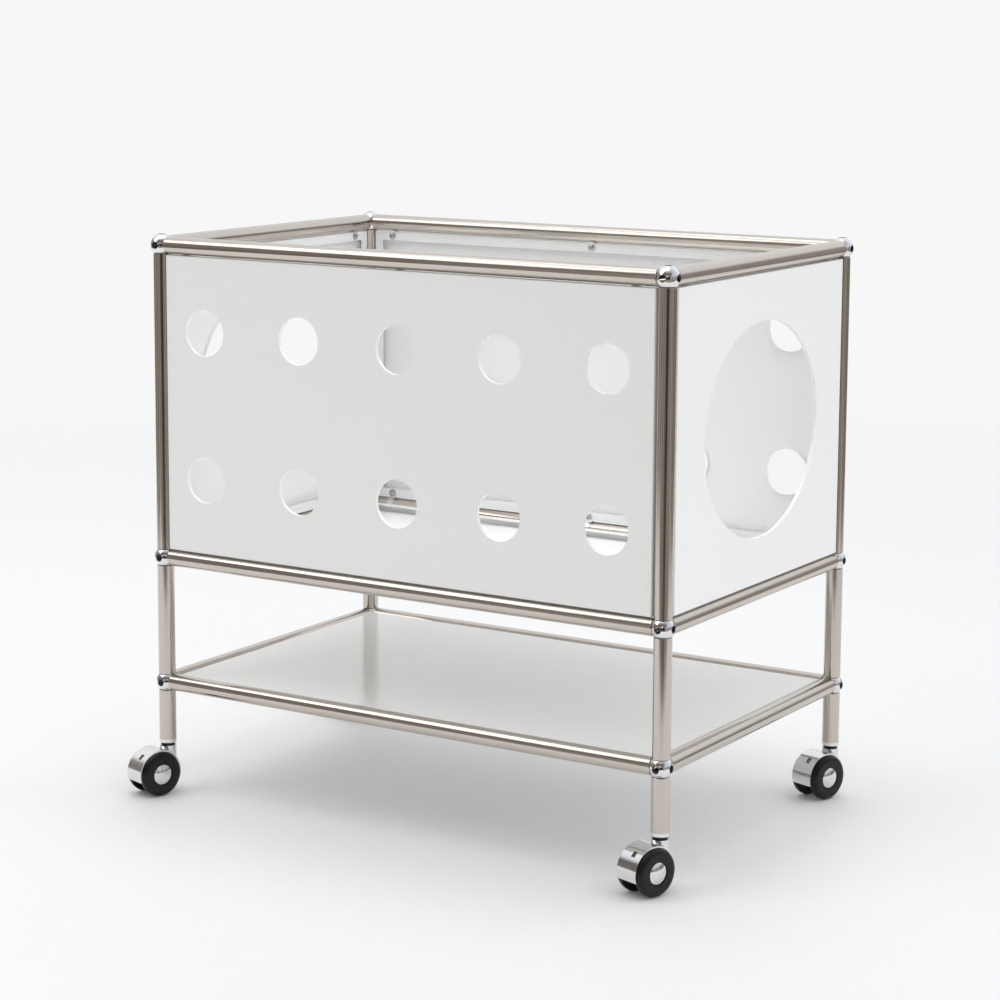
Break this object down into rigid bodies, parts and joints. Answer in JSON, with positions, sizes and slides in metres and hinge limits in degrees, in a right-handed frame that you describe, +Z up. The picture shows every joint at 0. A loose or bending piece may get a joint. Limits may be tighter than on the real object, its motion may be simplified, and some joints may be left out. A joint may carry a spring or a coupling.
{
  "type": "bar cart",
  "caption": "Tube-and-ball bar cart with an open-top box of white perforated panels, an open lower shelf and swivel casters.",
  "frame": {"origin": "on the floor at the middle of the overall box, casters included", "axes": "+X along the long side to the right, +Y from the front to the back, +Z up"},
  "size_m": [0.683, 0.4598, 0.6318],
  "materials": {
    "tube_metal": "satin nickel-toned stainless tube, finely brushed",
    "ball_chrome": "polished",
    "plain_steel": "plain zinc-plated",
    "clip_chrome": "polished",
    "caster_chrome": "polished",
    "panel_white": "satin powder coat",
    "shelf_white": "gloss powder coat",
    "wheel_black": "satin moulded nylon"
  },
  "bodies": {
    "root": {"top_rail_front": "tube_metal", "top_rail_back": "tube_metal", "top_rail_left": "tube_metal", "top_rail_right": "tube_metal", "middle_rail_front": "tube_metal", "middle_rail_back": "tube_metal", "middle_rail_left": "tube_metal", "middle_rail_right": "tube_metal", "lower_rail_front": "tube_metal", "lower_rail_back": "tube_metal", "lower_rail_left": "tube_metal", "lower_rail_right": "tube_metal", "upper_post_fl": "tube_metal", "upper_post_fr": "tube_metal", "upper_post_bl": "tube_metal", "upper_post_br": "tube_metal", "lower_post_fl": "tube_metal", "lower_post_fr": "tube_metal", "lower_post_bl": "tube_metal", "lower_post_br": "tube_metal", "leg_fl": "tube_metal", "leg_fr": "tube_metal", "leg_bl": "tube_metal", "leg_br": "tube_metal", "ball_connectors": "ball_chrome", "tube_end_plugs": "plain_steel", "joining_studs": "plain_steel", "front_panel": "panel_white", "back_panel": "panel_white", "left_panel": "panel_white", "right_panel": "panel_white", "box_floor_panel": "panel_white", "lower_shelf_panel": "shelf_white", "panel_clips": "clip_chrome", "clip_screws": "plain_steel", "caster_stems": "caster_chrome", "swivel_washers": "wheel_black", "stem_circlips": "plain_steel"},
    "caster_fl_swivel": {"caster_fl_hood": "caster_chrome", "caster_fl_axle": "plain_steel", "caster_fl_hub_caps": "caster_chrome"},
    "caster_fl_left_wheel_body": {"caster_fl_left_wheel": "wheel_black"},
    "caster_fl_right_wheel_body": {"caster_fl_right_wheel": "wheel_black"},
    "caster_fr_swivel": {"caster_fr_hood": "caster_chrome", "caster_fr_axle": "plain_steel", "caster_fr_hub_caps": "caster_chrome"},
    "caster_fr_left_wheel_body": {"caster_fr_left_wheel": "wheel_black"},
    "caster_fr_right_wheel_body": {"caster_fr_right_wheel": "wheel_black"},
    "caster_bl_swivel": {"caster_bl_hood": "caster_chrome", "caster_bl_axle": "plain_steel", "caster_bl_hub_caps": "caster_chrome"},
    "caster_bl_left_wheel_body": {"caster_bl_left_wheel": "wheel_black"},
    "caster_bl_right_wheel_body": {"caster_bl_right_wheel": "wheel_black"},
    "caster_br_swivel": {"caster_br_hood": "caster_chrome", "caster_br_axle": "plain_steel", "caster_br_hub_caps": "caster_chrome"},
    "caster_br_left_wheel_body": {"caster_br_left_wheel": "wheel_black"},
    "caster_br_right_wheel_body": {"caster_br_right_wheel": "wheel_black"}
  },
  "joints": [
    {"name": "caster_fl_swivel_turn", "type": "hinge", "parent": "root", "child": "caster_fl_swivel", "pos_m": [-0.31113, -0.18193, 0.051], "axis": [0, 0, 1], "continuous": true},
    {"name": "caster_fl_left_wheel_spin", "type": "hinge", "parent": "caster_fl_swivel", "child": "caster_fl_left_wheel_body", "pos_m": [-0.317, -0.2, 0.025], "axis": [0.9511, -0.309, 0], "continuous": true},
    {"name": "caster_fl_right_wheel_spin", "type": "hinge", "parent": "caster_fl_swivel", "child": "caster_fl_right_wheel_body", "pos_m": [-0.317, -0.2, 0.025], "axis": [0.9511, -0.309, 0], "continuous": true},
    {"name": "caster_fr_swivel_turn", "type": "hinge", "parent": "root", "child": "caster_fr_swivel", "pos_m": [0.32287, -0.18193, 0.051], "axis": [0, 0, 1], "continuous": true},
    {"name": "caster_fr_left_wheel_spin", "type": "hinge", "parent": "caster_fr_swivel", "child": "caster_fr_left_wheel_body", "pos_m": [0.317, -0.2, 0.025], "axis": [0.9511, -0.309, 0], "continuous": true},
    {"name": "caster_fr_right_wheel_spin", "type": "hinge", "parent": "caster_fr_swivel", "child": "caster_fr_right_wheel_body", "pos_m": [0.317, -0.2, 0.025], "axis": [0.9511, -0.309, 0], "continuous": true},
    {"name": "caster_bl_swivel_turn", "type": "hinge", "parent": "root", "child": "caster_bl_swivel", "pos_m": [-0.31113, 0.21807, 0.051], "axis": [0, 0, 1], "continuous": true},
    {"name": "caster_bl_left_wheel_spin", "type": "hinge", "parent": "caster_bl_swivel", "child": "caster_bl_left_wheel_body", "pos_m": [-0.317, 0.2, 0.025], "axis": [0.9511, -0.309, 0], "continuous": true},
    {"name": "caster_bl_right_wheel_spin", "type": "hinge", "parent": "caster_bl_swivel", "child": "caster_bl_right_wheel_body", "pos_m": [-0.317, 0.2, 0.025], "axis": [0.9511, -0.309, 0], "continuous": true},
    {"name": "caster_br_swivel_turn", "type": "hinge", "parent": "root", "child": "caster_br_swivel", "pos_m": [0.32287, 0.21807, 0.051], "axis": [0, 0, 1], "continuous": true},
    {"name": "caster_br_left_wheel_spin", "type": "hinge", "parent": "caster_br_swivel", "child": "caster_br_left_wheel_body", "pos_m": [0.317, 0.2, 0.025], "axis": [0.9511, -0.309, 0], "continuous": true},
    {"name": "caster_br_right_wheel_spin", "type": "hinge", "parent": "caster_br_swivel", "child": "caster_br_right_wheel_body", "pos_m": [0.317, 0.2, 0.025], "axis": [0.9511, -0.309, 0], "continuous": true}
  ]
}
